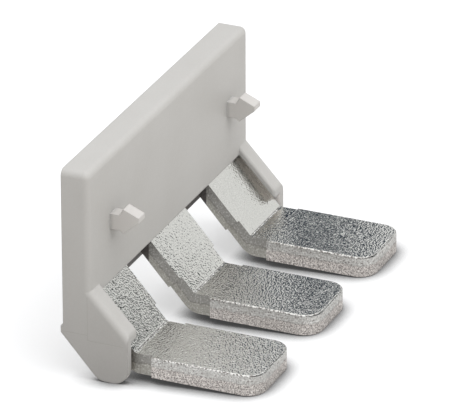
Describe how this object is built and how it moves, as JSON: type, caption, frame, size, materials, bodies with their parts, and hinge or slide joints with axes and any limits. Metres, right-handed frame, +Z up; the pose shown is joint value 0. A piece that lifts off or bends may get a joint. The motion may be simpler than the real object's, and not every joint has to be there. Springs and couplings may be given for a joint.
{
  "type": "terminal block jumper bar",
  "caption": "Insertion jumper bar that links neighbouring large screw terminals: a bent metal comb with level tongues, its web inside a moulded cover.",
  "frame": {"origin": "middle of the bounding box in X and Y, at the level of the cheeks' feet, which is the lowest point", "axes": "+X along the row of legs, +Z up along the plate and away from the tongues, tongues point to -Y"},
  "size_m": [0.068, 0.0362, 0.0387],
  "materials": {
    "tinned_copper": "satin, matt tin plating on copper, fine grained",
    "grey_polyamide": "moulded, fine matt"
  },
  "bodies": {
    "root": {"contact_comb": "tinned_copper", "insulating_cover": "grey_polyamide"}
  },
  "joints": []
}
